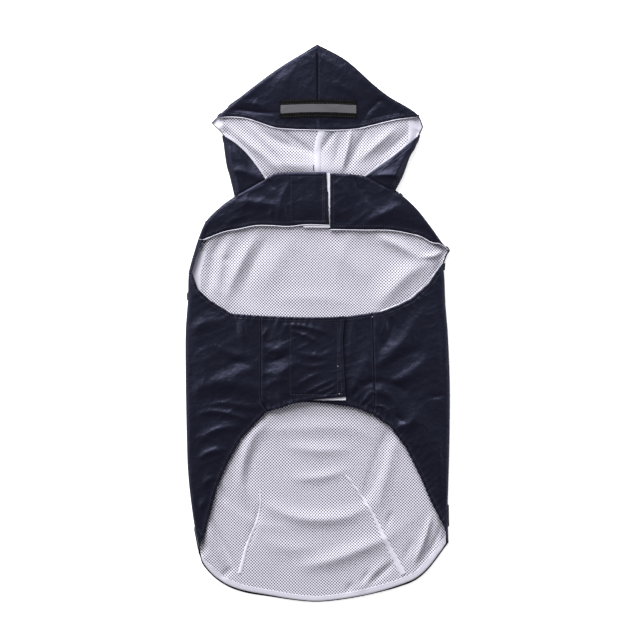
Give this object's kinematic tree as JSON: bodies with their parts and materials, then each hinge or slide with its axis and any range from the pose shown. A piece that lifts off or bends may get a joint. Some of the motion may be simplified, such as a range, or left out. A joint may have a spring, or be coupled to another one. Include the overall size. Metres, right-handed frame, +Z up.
{
  "type": "dog raincoat",
  "caption": "Hooded dog raincoat laid flat belly side up, mesh lined, with hook-and-loop chest and belly closures, an arched belly cut-out and a reflective strip.",
  "frame": {"origin": "middle of the coat's footprint, on the surface that it lies on", "axes": "+X to the right of the coat as it is seen from above, +Y from the hem towards the hood, +Z up"},
  "size_m": [0.3034, 0.639, 0.0229],
  "materials": {
    "shell": "navy coated polyester, smooth with a low sheen",
    "mesh_lining": "white warp-knitted mesh with small round holes",
    "white_tape": "plain white woven facing and seam tape",
    "loop_tape": "white brushed loop tape",
    "black_tape": "black woven polyester tape",
    "reflective_silver": "silver-grey retroreflective film on cloth"
  },
  "bodies": {
    "root": {"back_shell": "shell", "back_lining": "mesh_lining", "hem_facing": "white_tape", "dart_tape_left": "white_tape", "dart_tape_right": "white_tape", "chest_strap_left": "shell", "chest_strap_right": "shell", "chest_loop_tab": "loop_tape", "side_wrap_left": "shell", "side_wrap_right": "shell", "belly_flap_left": "shell", "belly_flap_right": "shell", "belly_loop_tape": "loop_tape", "hood_back_left": "shell", "hood_back_right": "shell", "hood_lining_left": "mesh_lining", "hood_lining_right": "mesh_lining", "hood_crown_left": "shell", "hood_crown_right": "shell", "hood_side_left": "shell", "hood_side_right": "shell", "hood_seam_tape": "white_tape", "reflective_base": "black_tape", "reflective_strip": "reflective_silver"}
  },
  "joints": []
}
